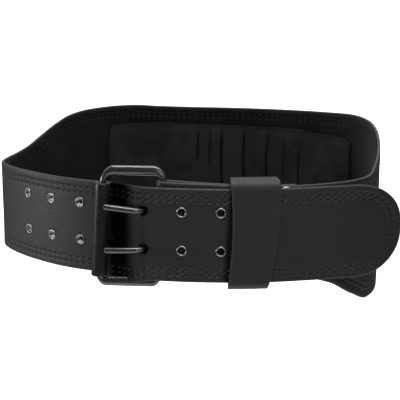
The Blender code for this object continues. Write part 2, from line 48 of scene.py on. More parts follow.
MIDDLE = np.array((0.00326, -0.00588, 0.07600))  # belt's middle, above the floor
LOOP_HALF = 190 * MM
PLAN = [
    # heading from the loop's middle in degrees, reach as a share of LOOP_HALF
    (-90, 0.761), (-66, 0.833), (-46, 0.943), (-30, 1.018), (-14, 0.976), (4, 0.973),
    (24, 1.023), (46, 0.963), (70, 0.892), (94, 0.916), (116, 0.971), (136, 0.935),
    (154, 0.937), (168, 1.002), (180, 1.112), (192, 1.026), (204, 0.940), (222, 0.857),
    (246, 0.773),
]
PLAN_STEPS = 24
FRONT_WIDTH = 88 * MM
BACK_WIDTH = 152 * MM
EDGES = [
    # place as a share of the girth, top flare, bottom flare
    (-0.040, 0.00, 0.00), (0.082, 0.00, 0.00), (0.111, 0.00, 0.24), (0.135, 0.00, 0.69),
    (0.159, 0.03, 1.00), (0.181, 0.34, 1.00), (0.206, 0.60, 1.00), (0.232, 0.81, 1.00),
    (0.259, 0.96, 1.00), (0.290, 1.04, 1.00), (0.318, 1.06, 1.00), (0.360, 1.00, 1.00),
    (0.410, 0.96, 1.00), (0.500, 0.94, 1.00), (0.540, 0.98, 1.00), (0.571, 1.06, 1.00),
    (0.600, 1.08, 1.00), (0.626, 1.07, 1.00), (0.652, 0.99, 1.00), (0.675, 0.77, 1.00),
    (0.698, 0.45, 1.00), (0.719, 0.16, 0.78), (0.740, 0.01, 0.32), (0.762, -0.04, 0.00),
    (0.790, -0.03, 0.00), (0.830, 0.00, 0.00), (0.905, 0.00, 0.00), (0.917, 0.00, 0.14),
    (0.936, 0.00, 0.15), (0.965, 0.00, 0.00), (1.200, 0.00, 0.00),
]
LAP_LIFT = 10.5 * MM
LIFTS = [
    # place as a share of the girth, lift as a share of LAP_LIFT
    (-0.040, 0.40), (-0.028, 0.40), (0.004, 0.00), (0.860, 0.00), (0.900, -0.10),
    (0.924, -0.12), (0.940, 0.46), (0.953, 0.94), (0.964, 1.00), (1.074, 1.00),
    (1.100, 1.20), (1.126, 1.80), (1.149, 2.60), (1.175, 3.70),
]
LEATHER = 3.2 * MM
LINING = 2.0 * MM
PLAY = 0.3 * MM
TAIL_REACH = 177 * MM
TIP_LENGTH = 42 * MM
TIP_SQUARENESS = 2.3
HINGE_PLACE = -37.3 * MM
HINGE_BAR = 2.8 * MM
FOLD_PLAY = 0.6 * MM
FLAP_REACH = 127.5 * MM
FLAP_START = 2 * MM
FLAP_STEP = 3 * MM
BUCKLE_RISE = 4.3 * MM
BUCKLE_TILT = 0.058
RISE_FADE = 90 * MM
EDGE_ROUND = 1.3 * MM
SEAM_ROWS = (7.0 * MM, 12.0 * MM)
STITCH_PITCH = 7.0 * MM
ROLL_HEIGHT = 0.22 * MM
PRESS_DEPTH = 0.30 * MM
PRESS_HALF = 0.8 * MM
SWAY_HEIGHT = 0.10 * MM
SWAY_LENGTHS = (17 * MM, 31 * MM, 19 * MM, 41 * MM, 27 * MM)
WELD = 0.01 * MM
# Painted shade: leather is painted darker and matt right of the roller, between places where its
# share goes 0, 1, 1 and 0, and beside the keeper as a painted shadow, along a line of this place
# and lean, this wide to each side, this much
PAINTED_SHADE_SPAN = (-92 * MM, -86 * MM, -72 * MM, -46 * MM)
SHADE_PLACE = 26.5 * MM
SHADE_LEAN = 0.06
SHADE_HALF = 3.2 * MM
SHADE_MOST = 0.9


def through(rows, column, place):
    """Table column at a place: cubic pieces whose slopes are the harmonic means of the rows'."""
    xs = np.array([row[0] for row in rows], float)
    ys = np.array([row[column] for row in rows], float)
    place = np.clip(np.asarray(place, float), xs[0], xs[-1])
    step = np.diff(xs)
    slope = np.diff(ys) / step
    before, after = slope[:-1], slope[1:]
    same = before * after > 0
    grade = np.zeros(len(xs))
    grade[1:-1] = np.where(same, 2 * before * after / np.where(same, before + after, 1), 0)
    k = np.clip(np.searchsorted(xs, place, side="right") - 1, 0, len(step) - 1)
    t = (place - xs[k]) / step[k]
    rise = ys[k] * (1 + 2 * t) * (1 - t) ** 2 + ys[k + 1] * t * t * (3 - 2 * t)
    return rise + step[k] * (grade[k] * t * (1 - t) ** 2 - grade[k + 1] * t * t * (1 - t))


def wearing_ring():
    """Closed cubic B-spline through the plan table, with the distance along it."""
    heading = np.radians([row[0] for row in PLAN])
    reach = LOOP_HALF * np.array([row[1] for row in PLAN])
    knots = np.stack([reach * np.cos(heading), reach * np.sin(heading)], 1)
    t = np.linspace(0, 1, PLAN_STEPS, endpoint=False)
    blend = np.stack([(1 - t) ** 3, 3 * t ** 3 - 6 * t ** 2 + 4,
                      -3 * t ** 3 + 3 * t ** 2 + 3 * t + 1, t ** 3], 1) / 6
    near = np.arange(len(knots))[:, None] + np.arange(-1, 3)
    points = np.einsum("tk,nkc->ntc", blend, knots[near % len(knots)]).reshape(-1, 2)
    closed = np.concatenate([points, points[:1]])
    along = np.concatenate([[0], np.cumsum(np.linalg.norm(np.diff(closed, axis=0), axis=1))])
    return closed, along


RING, RING_ALONG = wearing_ring()
GIRTH = float(RING_ALONG[-1])


def wear_line(place):
    """Points of the wearing line at distances from the front, and the outward normals there."""
    place = np.atleast_1d(np.asarray(place, float))

    def at(where):
        where = np.mod(where, GIRTH)
        return np.stack([np.interp(where, RING_ALONG, RING[:, i]) for i in range(2)], 1)

    reach = 6 * MM
    run = at(place + reach) - at(place - reach)
    run /= np.linalg.norm(run, axis=1)[:, None]
    return at(place), np.stack([run[:, 1], -run[:, 0]], 1)


def off_line(place, out):
    """Points at a height off the wearing line."""
    points, normals = wear_line(place)
    return points + np.reshape(out, (-1, 1)) * normals


def lift(place):
    """Height of the strap's outer face off the wearing line: the lift table times LAP_LIFT."""
    return LAP_LIFT * through(LIFTS, 1, np.asarray(place) / GIRTH)


def near_hinge(place):
    """1 at the hinge bar, falling evenly to 0 over RISE_FADE along the inner layer."""
    return np.clip(1 - (np.asarray(place, float) - HINGE_PLACE) / RISE_FADE, 0, 1)


def skew(place, level):
    """Shift along the strap where the buckle end lies askew: the tilt times the height above
    the buckle's middle, times the nearness of the hinge. One or many levels at each place."""
    normal = wear_line(place)[1]
    ahead = np.stack([-normal[:, 1], normal[:, 0]], 1)
    lean = (BUCKLE_TILT * near_hinge(place) * (level.T - BUCKLE_RISE)).T
    return lean[..., None] * (ahead if level.ndim == 1 else ahead[:, None])


def strap_edges(place):
    """Lower and upper edge: half the front width, plus the flare tables, plus the buckle rise."""
    place = np.asarray(place, float)
    spread = (BACK_WIDTH - FRONT_WIDTH) / 2
    rise = BUCKLE_RISE * near_hinge(place)
    top = FRONT_WIDTH / 2 + spread * through(EDGES, 1, place / GIRTH) + rise
    bottom = -FRONT_WIDTH / 2 - spread * through(EDGES, 2, place / GIRTH) + rise
    return bottom, top


def side_normals(path):
    """Unit normals of a plan path, to the left of its run."""
    run = np.gradient(path, axis=0)
    run /= np.linalg.norm(run, axis=1)[:, None]
    return np.stack([-run[:, 1], run[:, 0]], 1)


def outward(name, points, faces, marks=None, merge=0.0):
    """Smooth mesh piece from points about the belt's middle, welded, with faces outward."""
    mesh = bpy.data.meshes.new(name)
    mesh.from_pydata((points.reshape(-1, 3) + MIDDLE).tolist(), [], faces)
    for label, values in (marks or {}).items():
        layer = mesh.attributes.new(label, "FLOAT", "POINT")
        layer.data.foreach_set("value", np.ascontiguousarray(values, np.float32).ravel())
    work = bmesh.new()
    work.from_mesh(mesh)
    if merge:
        bmesh.ops.remove_doubles(work, verts=work.verts, dist=merge)
    bmesh.ops.recalc_face_normals(work, faces=work.faces)
    work.to_mesh(mesh)
    work.free()
    mesh.shade_smooth()
    piece = bpy.data.objects.new(name, mesh)
    bpy.context.scene.collection.objects.link(piece)
    return piece


def skin(name, grid, caps=(True, True), marks=None, merge=0.0):
    """Piece from a grid of points: closed rings, each joined to the next, ends capped or not."""
    rows, ring = grid.shape[:2]
    index = np.arange(rows * ring).reshape(rows, ring)
    over = np.roll(index, -1, axis=1)
    quads = np.stack([index[:-1], over[:-1], over[1:], index[1:]], -1).reshape(-1, 4)
    faces = quads.tolist()
    if caps[0]:
        faces.append(index[0].tolist())
    if caps[1]:
        faces.append(index[-1].tolist())
    return outward(name, grid, faces, marks, merge)


def applied(piece):
    """Keeps the result of a piece's modifiers as its mesh."""
    graph = bpy.context.evaluated_depsgraph_get()
    result = bpy.data.meshes.new_from_object(piece.evaluated_get(graph))
    piece.modifiers.clear()
    piece.data = result


def cut_out(piece, solids):
    """Takes closed solids out of a piece and keeps the result as its mesh."""
    step = piece.modifiers.new("cut", "BOOLEAN")
    step.operation, step.solver, step.operand_type = "DIFFERENCE", "MANIFOLD", "COLLECTION"
    group = bpy.data.collections.new("cutters")
    bpy.context.scene.collection.children.link(group)
    for solid in solids:
        bpy.context.scene.collection.objects.unlink(solid)
        group.objects.link(solid)
    step.collection = group
    applied(piece)
    for solid in solids:
        bpy.data.objects.remove(solid)
    bpy.data.collections.remove(group)


def tone(code):
    """Linear colour of an sRGB hex value."""
    channels = np.array([int(code[i:i + 2], 16) for i in (1, 3, 5)]) / 255
    linear = np.where(channels <= 0.04045, channels / 12.92, ((channels + 0.055) / 1.055) ** 2.4)
    return (*linear.tolist(), 1.0)


def finish_of(name, color, roughness, **inputs):
    """New material with its shader set: returns it with its node tree and the shader."""
    made = bpy.data.materials.new(name)
    made.use_nodes = True
    tree = made.node_tree
    shader = tree.nodes["Principled BSDF"]
    shader.inputs["Base Color"].default_value = tone(color)
    shader.inputs["Roughness"].default_value = roughness
    for socket, value in inputs.items():
        shader.inputs[socket.replace("_", " ")].default_value = value
    return made, tree, shader


def add(tree, kind, settings=None, feeds=None):
    """One node: settings by property name, feeds by input, each a value or another's output."""
    node = tree.nodes.new("ShaderNode" + kind)
    for label, value in (settings or {}).items():
        setattr(node, label, value)
    for socket, value in (feeds or {}).items():
        if isinstance(value, bpy.types.NodeSocket):
            tree.links.new(value, node.inputs[socket])
        else:
            node.inputs[socket].default_value = value
    return node


def ramp(tree, value, start, stop, low=0.0, high=1.0, eased=True):
    """Output of a node that takes start to stop over to low to high, eased or evenly."""
    return add(tree, "MapRange", {"interpolation_type": "SMOOTHSTEP" if eased else "LINEAR"},
               {"Value": value, "From Min": start, "From Max": stop,
                "To Min": low, "To Max": high}).outputs[0]


def worked(tree, operation, *values):
    """Output of an arithmetic node."""
    return add(tree, "Math", {"operation": operation}, dict(enumerate(values))).outputs[0]


def mixed(tree, share, first, second):
    """Output of a node that goes from the first colour to the second by a share."""
    return add(tree, "Mix", {"data_type": "RGBA"}, {0: share, 6: first, 7: second}).outputs[2]


def marked(tree, label):
    """Output that reads a mesh attribute."""
    return add(tree, "Attribute", {"attribute_name": label}).outputs["Fac"]


def noise(tree, size, detail, **more):
    """Output of a noise whose features have a size."""
    place = add(tree, "TexCoord").outputs["Object"]
    return add(tree, "TexNoise", None, {"Vector": place, "Scale": 1 / size, "Detail": detail,
                                        **more}).outputs["Fac"]


def bumped(tree, height, distance, strength):
    """Normal that a height field of this distance and strength gives."""
    return add(tree, "Bump", None, {"Height": height, "Distance": distance,
                                    "Strength": strength}).outputs[0]


def feed(tree, shader, outputs):
    """Links outputs to the shader's inputs by their names."""
    for label, output in outputs.items():
        tree.links.new(output, shader.inputs[label])


def leather_finish(name, seamed):
    """Drum-dyed cowhide: matt black with a broad soft gloss, pebbled pores about 1 mm apart
    drawn 1.6 mm apart so that they show, cloudy dye, paler rubbed edges. Seamed leather also
    has a pressed row under each seam with needle holes at the stitch ends, painted near black as
    painted shade, and is painted darker and matt, as painted shade, where a mesh attribute says."""
    made, tree, shader = finish_of(name, "#252328", 0.55, IOR=1.5)
    speck = noise(tree, 2.2 * MM, 4)
    pores = add(tree, "TexVoronoi", {"feature": "SMOOTH_F1"}, {
        "Vector": add(tree, "TexCoord").outputs["Object"], "Scale": 1 / (1.6 * MM),
        "Smoothness": 0.6})
    dye = mixed(tree, noise(tree, 28 * MM, 3), tone("#1f1d21"), tone("#2b292e"))
    edge = marked(tree, "edge")
    rubbed = ramp(tree, edge, 0.2 * MM, 2.6 * MM, 0.5, 0.0)
    color = mixed(tree, rubbed, dye, tone("#3e3c41"))
    height = worked(tree, "MULTIPLY_ADD", speck, 0.8, pores.outputs["Distance"])
    if seamed:
        offs = [worked(tree, "ABSOLUTE", worked(tree, "SUBTRACT", edge, row)) for row in SEAM_ROWS]
        row_mark = ramp(tree, worked(tree, "MINIMUM", *offs), 0.7 * MM, 2.0 * MM, 1.0, 0.0)
        turn = worked(tree, "MULTIPLY", marked(tree, "along"), 1 / STITCH_PITCH)
        needle = ramp(tree, worked(tree, "PINGPONG", turn, 0.5), 0.10, 0.25, 1.0, 0.0)
        # Painted shade: each needle hole is pressed in by the bump and also painted near black
        needle_dent_and_shade = worked(tree, "MULTIPLY", row_mark, needle)
        height = worked(tree, "MULTIPLY_ADD", row_mark, -0.6, height)
        height = worked(tree, "MULTIPLY_ADD", needle_dent_and_shade, -3.0, height)
        # Painted shade: near black colour and little gloss where the mesh mark says, right of the
        # roller and beside the keeper
        unlit = marked(tree, "painted_shade")
        color = mixed(tree, unlit, mixed(tree, needle_dent_and_shade, color, tone("#040404")), tone("#030303"))
        feed(tree, shader, {"Specular IOR Level": ramp(tree, unlit, 0, 1, 0.5, 0.05, False)})
    feed(tree, shader, {"Base Color": color,
                        "Roughness": ramp(tree, speck, 0.3, 0.7, 0.46, 0.64, False),
                        "Normal": bumped(tree, height, 0.22 * MM, 0.8)})
    return made


GRAIN = leather_finish("drum_dyed_cowhide", True)

# Columns of the strap from the tail tip: close together at the tip, then four to a stitch
tip_place = GIRTH + TAIL_REACH
tip_columns = TIP_LENGTH * np.linspace(0, 1, 40, endpoint=False) ** 2
strand_columns = np.arange(TIP_LENGTH, tip_place - HINGE_PLACE, STITCH_PITCH / 4)
strand = tip_place - np.concatenate([tip_columns, strand_columns])
strand = np.append(strand, HINGE_PLACE)
strand_path = off_line(strand, lift(strand) - LEATHER / 2)
strand_out = side_normals(strand_path)

# Fold round the hinge bar and flap on the inner side
fold_radius = HINGE_BAR + FOLD_PLAY + LEATHER / 2
flap_face = -(LEATHER + LINING + 2 * PLAY)
hinge_out = flap_face - LEATHER / 2 + fold_radius
hinge_spot, hinge_normal = (v[0] for v in wear_line(HINGE_PLACE))
hinge_left = np.array([hinge_normal[1], -hinge_normal[0]])
hinge_middle = hinge_spot + hinge_out * hinge_normal
bend = np.linspace(0, np.pi, 25)[1:, None]
fold = hinge_middle + fold_radius * (np.cos(bend) * hinge_normal + np.sin(bend) * hinge_left)
flap = HINGE_PLACE + np.append(np.arange(FLAP_START, FLAP_REACH, FLAP_STEP), FLAP_REACH)
flap_path = off_line(flap, np.full(len(flap), flap_face - LEATHER / 2))
leather_path = np.concatenate([strand_path, fold, flap_path])
leather_place = np.concatenate([strand, np.full(len(fold), HINGE_PLACE), flap])
leather_out = side_normals(leather_path)


def strap_shape(place, from_tip):
    """Middle level and half height: the edges' mean and half their difference, which shrinks
    at the tip as a superellipse."""
    bottom, top = strap_edges(place)
    share = np.clip(1 - from_tip / TIP_LENGTH, 0, 1)
    shrink = (1 - share ** TIP_SQUARENESS) ** (1 / TIP_SQUARENESS)
    return (top + bottom) / 2 * shrink, (top - bottom) / 2 * shrink


def outline(side):
    """One edge of the flat strap from the tip's point: distance from tip, level, length run."""
    reach = np.concatenate([TIP_LENGTH * np.linspace(0, 1, 300, endpoint=False) ** 2,
                            np.arange(TIP_LENGTH, tip_place - HINGE_PLACE, MM)])
    middle, half = strap_shape(tip_place - reach, reach)
    level = middle + side * half
    legs = np.hypot(np.diff(reach), np.diff(level))
    return reach, level, np.concatenate([[0], np.cumsum(legs)])


OUTLINES = {side: outline(side) for side in (-1, 1)}


def edge_marks(reach, level, side):
    """Distance to the strap's nearest edge and the length run there: at the tip from the
    nearest point of the outline, elsewhere from the edge's slope."""
    x, z, run = OUTLINES[side]
    slope = np.interp(reach, x, np.gradient(z, x))
    drop = side * (np.interp(reach, x, z) - level)
    foot = reach - side * slope * drop / (1 + slope ** 2)
    edge, along = drop / np.sqrt(1 + slope ** 2), np.interp(foot, x, run)
    tip = reach < 1.5 * TIP_LENGTH
    near = x < 2.5 * TIP_LENGTH
    gap = np.hypot(reach[tip][:, None] - x[near], level[tip][:, None] - z[near])
    edge[tip], along[tip] = gap.min(axis=1), run[near][gap.argmin(axis=1)]
    return edge, along


FACE_INSETS = MM * np.array([0, 0.15, 0.5, 1.0, 1.6, 2.6, 4.0, 5.2, 6.1, 6.6, 7.0, 7.4, 7.9, 9.0,
                             10.4, 11.1, 11.6, 12.0, 12.4, 12.9, 14.0, 17.0, 21.0])
MIDDLE_ROWS = 11
inner_share = np.linspace(1, -1, MIDDLE_ROWS + 2)[1:-1]
face_share = np.concatenate([np.ones(len(FACE_INSETS)), inner_share, -np.ones(len(FACE_INSETS))])
face_inset = np.concatenate([FACE_INSETS, FACE_INSETS[-1] * inner_share, -FACE_INSETS[::-1]])

# Faces of the strap: every column has the same rows, which crowd together as the tip closes
leather_reach = tip_place - leather_place
on_strand = np.arange(len(leather_path)) < len(strand)
middle, half = strap_shape(leather_place, np.where(on_strand, leather_reach, TIP_LENGTH))
squeeze = np.clip(half / (FACE_INSETS[-1] * 1.1), 0, 1)
levels = middle[:, None] + face_share * half[:, None] - face_inset * squeeze[:, None]
reaches = np.broadcast_to(leather_reach[:, None], levels.shape)
edge = np.zeros(levels.shape)
along = np.zeros(levels.shape)
for side in (-1, 1):
    half_face = face_share * side >= 0
    marks = edge_marks(reaches[:, half_face].ravel(), levels[:, half_face].ravel(), side)
    edge[:, half_face], along[:, half_face] = (m.reshape(levels[:, half_face].shape) for m in marks)
edge[~on_strand] = np.abs(face_inset)
rounding = LEATHER / 2 - EDGE_ROUND + np.sqrt(
    np.maximum(EDGE_ROUND ** 2 - np.clip(EDGE_ROUND - edge, 0, None) ** 2, 0))
pressed = sum(np.exp(-((edge - row) / PRESS_HALF) ** 2) for row in SEAM_ROWS)
rolled = np.sin(np.pi * np.clip(edge / SEAM_ROWS[0], 0, 1)) ** 2
near_run, near_tilt, near_rise, far_run, far_rise = SWAY_LENGTHS
sway = (np.sin(reaches / near_run + levels / near_tilt) * np.sin(levels / near_rise + 1)
        + np.sin(reaches / far_run + 2) * np.cos(levels / far_rise))
outer = rounding + ROLL_HEIGHT * rolled - PRESS_DEPTH * pressed + SWAY_HEIGHT * (sway - 1)
along_spread = np.concatenate([along, along[:, ::-1]], 1)
edge_spread = np.concatenate([edge, edge[:, ::-1]], 1)
offset = np.concatenate([outer, -rounding[:, ::-1]], 1)
levels = np.concatenate([levels, levels[:, ::-1]], 1)
spots = leather_path[:, None] + offset[..., None] * leather_out[:, None]
spots += skew(leather_place, levels)
leather_grid = np.concatenate([spots, levels[..., None]], 2)
# Mark for the painted shade right of the roller and the painted shadow beside the keeper
painted_shade = np.interp(leather_place - GIRTH, PAINTED_SHADE_SPAN, (0, 1, 1, 0))
beside = leather_place[:, None] - GIRTH - SHADE_PLACE - SHADE_LEAN * levels
painted_shade = np.maximum(painted_shade[:, None], SHADE_MOST * np.exp(-(beside / SHADE_HALF) ** 2))
leather = skin("strap_leather", leather_grid, caps=(False, True), merge=WELD / 2,
               marks={"edge": edge_spread, "along": along_spread, "painted_shade": painted_shade})
leather.data.materials.append(GRAIN)


def on_strand_at(place):
    """Spot on the middle of the outer strand's leather and its outward normal at a place."""
    spot = np.array([np.interp(place, strand[::-1], strand_path[::-1, i]) for i in range(2)])
    out = np.array([np.interp(place, strand[::-1], strand_out[::-1, i]) for i in range(2)])
    return np.append(spot, 0.0), np.append(out / np.linalg.norm(out), 0.0)


def turned_grid(middle, axis, profile, sides):
    """Rings round an axis: each profile row gives a radius and a height along it."""
    up = np.array((0.0, 0.0, 1.0))
    side = np.array((1.0, 0.0, 0.0)) if abs(axis @ up) > 0.9 else np.cross(axis, up)
    side /= np.linalg.norm(side)
    turn = np.linspace(0, 2 * np.pi, sides, endpoint=False)[:, None]
    about = np.cos(turn) * side + np.sin(turn) * np.cross(axis, side)
    profile = np.asarray(profile, float)
    return middle + profile[:, 1, None, None] * axis + profile[:, 0, None, None] * about


HOLE_ROW = 18 * MM
HOLE_RISE = 4 * MM
HOLE_PITCH = 34.8 * MM
LAST_HOLE = 53.4 * MM
HOLE_PAIRS = 8
EYELET_BORE = 3.5 * MM
EYELET_WALL = 0.5 * MM
RIVET_PLACE = 78.5 * MM
RIVET_ROW = 38.5 * MM
RIVET_SHANK = 2.0 * MM
SLOT_WIDTH = 7.2 * MM
hole_spots = {}
for pair in range(HOLE_PAIRS):
    spot, out = on_strand_at(GIRTH + LAST_HOLE - pair * HOLE_PITCH)
    for row, side in (("upper", 1), ("lower", -1)):
        hole_spots[f"{row}_{pair + 1}"] = (spot + (0, 0, HOLE_RISE + side * HOLE_ROW), out)


def rivet_seat(side):
    """Spot on the inner strand's outer face where a rivet goes through, and its axis."""
    spot, out = (v[0] for v in wear_line(RIVET_PLACE))
    return np.append(spot, side * RIVET_ROW), np.append(out, 0.0)


def hole_cutters(blind=()):
    """Cylinders through leather and lining at the eyelets, apart from blind ones, and through
    the flap at the rivets."""
    drill = [(EYELET_BORE + EYELET_WALL + PLAY, height) for height in (LEATHER, -2 * LEATHER)]
    made = [skin(f"drill_{label}", turned_grid(spot, out, drill, 24))
            for label, (spot, out) in hole_spots.items() if label not in blind]
    drill = [(RIVET_SHANK + PLAY, height) for height in (LEATHER, flap_face - 2 * LEATHER)]
    return made + [skin("drill_rivet", turned_grid(*rivet_seat(side), drill, 16))
                   for side in (-1, 1)]


slot_boxes = []
for side in (-1, 1):
    slot_level = np.array([HOLE_RISE + side * HOLE_ROW])
    corners = np.array([(-1, -1), (1, -1), (1, 1), (-1, 1)]) * (fold_radius + LEATHER)
    plan = hinge_middle + skew(HINGE_PLACE, slot_level) + corners @ np.stack([hinge_left, hinge_normal])
    box = np.stack([np.column_stack([plan, np.full(4, slot_level[0] + z * SLOT_WIDTH / 2)])
                    for z in (-1, 1)])
    slot_boxes.append(skin("slot", box))
cut_out(leather, hole_cutters() + slot_boxes)
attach(leather, "root")
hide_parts("belt_leather")


# Lining
# Split suede, near black, glued behind the strap and sewn to it by the two seams, so that it
# swells a little between them and rolls over at the edge. It is left uncut at the pair of holes
# at the prongs and the pair behind the roller, so that these show dark lining as painted shade.

LINING_INSET = 1.0 * MM
LINING_LEAST = 0.2 * MM
LINING_ROLL = 2.5 * MM
LINING_RELIEF = 0.5 * MM
LINING_PRESS_HALF = 0.9 * MM


def suede_finish(name, dark, pale):
    """Split leather with a brushed nap: no gloss, a sheen at grazing angles, and finger marks
    10 to 40 mm wide where the nap lies another way. Fibres are drawn 0.9 mm coarse."""
    made, tree, shader = finish_of(name, dark, 0.95, IOR=1.45, Sheen_Weight=0.14,
                                   Sheen_Roughness=0.45)
    shader.inputs["Specular IOR Level"].default_value = 0.2
    shader.inputs["Sheen Tint"].default_value = tone("#8c8a8c")
    marks = ramp(tree, noise(tree, 34 * MM, 4, Distortion=0.7), 0.35, 0.65)
    feed(tree, shader, {"Base Color": mixed(tree, marks, tone(dark), tone(pale)),
                        "Normal": bumped(tree, noise(tree, 0.9 * MM, 2), 0.35 * MM, 0.7)})
    return made


# Painted shade: at these holes the lining stays uncut and the eyelets get a dark copy of the nickel
HOLES_IN_PAINTED_SHADE = ("upper_4", "lower_4", "upper_5", "lower_5")
LINING_SUEDE = suede_finish("split_suede_lining", "#0e0d0f", "#161416")

# The lining ends short of the fold, and short of the tip's point by its inset
lining_end = HINGE_PLACE + fold_radius + LEATHER
lined = (strand >= lining_end) & (tip_place - strand > LINING_INSET)
lining_path = strand_path[lined] - strand_out[lined] * (LEATHER / 2 + PLAY)
lining_reach = tip_place - strand[lined]
lining_middle, lining_half = strap_shape(strand[lined], lining_reach)
lining_half = np.maximum(lining_half - LINING_INSET, LINING_LEAST)
lining_squeeze = np.clip(lining_half / (FACE_INSETS[-1] * 1.1), 0, 1)
lining_levels = (lining_middle[:, None] + face_share * lining_half[:, None]
                 - face_inset * lining_squeeze[:, None])
lining_edge = np.abs(face_inset) * lining_squeeze[:, None] + np.zeros(lining_levels.shape)
lining_edge[:, face_share != np.sign(face_share)] = FACE_INSETS[-1]
lining_roll = LINING * np.sqrt(np.clip(lining_edge / LINING_ROLL, 0.06, 1))
lining_pressed = sum(np.exp(-((lining_edge + LINING_INSET - row) / LINING_PRESS_HALF) ** 2)
                     for row in SEAM_ROWS)
lining_swell = np.sin(np.pi * np.clip(lining_edge / SEAM_ROWS[0], 0, 1)) ** 2
lining_depth = lining_roll + LINING_RELIEF * (lining_swell - lining_pressed)
lining_offset = np.concatenate([np.zeros(lining_levels.shape), -lining_depth[:, ::-1]], 1)
lining_levels = np.concatenate([lining_levels, lining_levels[:, ::-1]], 1)
lining_spots = lining_path[:, None] + lining_offset[..., None] * strand_out[lined][:, None]
lining_spots += skew(strand[lined], lining_levels)
lining_grid = np.concatenate([lining_spots, lining_levels[..., None]], 2)
lining = skin("strap_lining", lining_grid)
lining.data.materials.append(LINING_SUEDE)
cut_out(lining, hole_cutters(blind=HOLES_IN_PAINTED_SHADE))
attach(lining, "root")
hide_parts("belt_lining")


# Seams
# Bonded black nylon thread, lock-stitched in two rows along every edge and round the tail.
# Each stitch lies at a slant and dives into its needle holes; both faces show it.

STITCH_LENGTH = 4.8 * MM
STITCH_WIDTH = 1.30 * MM
STITCH_RISE = 0.50 * MM
STITCH_SLANT = math.radians(34)
STITCH_SINK = 0.15 * MM
INNER_SINK = 0.2 * MM
SEAM_STOP = 4 * MM
FLAP_COVER = 6 * MM
THREAD, thread_tree, thread_shader = finish_of("bonded_nylon_thread", "#2a282c", 0.50, IOR=1.5)
twist = add(thread_tree, "TexWave", {"bands_direction": "DIAGONAL"},
            {"Vector": add(thread_tree, "TexCoord").outputs["Object"], "Scale": 1 / (3.0 * MM)})
feed(thread_tree, thread_shader, {
    "Normal": bumped(thread_tree, twist.outputs["Fac"], 0.1 * MM, 0.4)})


def stitch_row(side, row, depth, last, covered=-np.inf):
    """Middles, run directions, outward directions and lengths of a row of stitches, one each
    pitch along the edge as far as the last, apart from places that something covers. They are
    set in from the edge by the row's distance and off the leather's middle by a depth."""
    x, z, run = OUTLINES[side]
    steps = np.arange(STITCH_PITCH / 2, min(last, run[-1]), STITCH_PITCH)

    def flat(where):
        reach, level = np.interp(where, run, x), np.interp(where, run, z)
        ahead = np.stack([np.interp(where + MM, run, x) - np.interp(where - MM, run, x),
                          np.interp(where + MM, run, z) - np.interp(where - MM, run, z)], 1)
        ahead /= np.linalg.norm(ahead, axis=1)[:, None]
        return reach + side * ahead[:, 1] * row, level - side * ahead[:, 0] * row

    def solid(reach, level):
        place = tip_place - reach
        spot = np.stack([np.interp(place, strand[::-1], strand_path[::-1, i])
                         for i in range(2)], 1)
        out = np.stack([np.interp(place, strand[::-1], strand_out[::-1, i])
                        for i in range(2)], 1)
        out /= np.linalg.norm(out, axis=1)[:, None]
        spot += depth * out + skew(place, level)
        return np.column_stack([spot, level]), np.column_stack([out, 0 * place])

    steps = steps[tip_place - flat(steps)[0] > covered]
    middle, out = solid(*flat(steps))
    ahead = solid(*flat(steps + MM))[0] - solid(*flat(steps - MM))[0]
    length = np.linalg.norm(ahead, axis=1)[:, None]
    return middle, ahead / length, out, (length / (2 * MM)).ravel()


def sewn(name, rows, thread):
    """Stitches as closed spindles: six rings of six along each, highest in the middle."""
    middle, ahead, out, scale = (np.concatenate(part) for part in zip(*rows))
    across = np.cross(out, ahead)
    ahead = ahead * math.cos(STITCH_SLANT) + across * math.sin(STITCH_SLANT)
    across = np.cross(out, ahead)
    t = np.array([-1.0, -0.75, -0.3, 0.3, 0.75, 1.0])
    girth = np.array([0.05, 0.75, 1.0, 1.0, 0.75, 0.05]) / 2
    rise = STITCH_RISE * (1 - 1.5 * t ** 4)
    turn = np.linspace(0, 2 * np.pi, 6, endpoint=False)
    run = t * STITCH_LENGTH / 2
    centre = (middle[:, None] + (run * np.ones_like(scale)[:, None] * scale[:, None])[..., None]
              * ahead[:, None] + (rise - STITCH_WIDTH / 2)[None, :, None] * out[:, None])
    ring = (np.cos(turn)[None, None, :, None] * across[:, None, None]
            + np.sin(turn)[None, None, :, None] * out[:, None, None])
    points = centre[:, :, None] + STITCH_WIDTH * girth[None, :, None, None] * ring
    count, rows_each, sides = points.shape[:3]
    index = np.arange(count * rows_each * sides).reshape(count, rows_each, sides)
    over = np.roll(index, -1, axis=2)
    quads = np.stack([index[:, :-1], over[:, :-1], over[:, 1:], index[:, 1:]], -1).reshape(-1, 4)
    ends = index[:, 0, ::-1].tolist() + index[:, -1].tolist()
    stitches = outward(name, points, quads.tolist() + ends)
    stitches.data.materials.append(thread)
    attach(stitches, "root")


# Outer stitches run from the tip to the fold; inner ones stop where the flap covers them
outer_end = tip_place - HINGE_PLACE - SEAM_STOP
grain_rows = [stitch_row(side, row, LEATHER / 2 - STITCH_SINK, outer_end)
              for side in (-1, 1) for row in SEAM_ROWS]
sewn("outer_stitches", grain_rows, THREAD)
behind = -(LEATHER / 2 + PLAY + LINING - INNER_SINK)
inner_rows = [stitch_row(side, row, behind, tip_place, HINGE_PLACE + FLAP_REACH + FLAP_COVER)
              for side in (-1, 1) for row in SEAM_ROWS]
inner_rows = [(middle, ahead, -out, scale) for middle, ahead, out, scale in inner_rows]
sewn("inner_stitches", inner_rows, finish_of("nap_covered_thread", "#19181a", 0.8)[0])
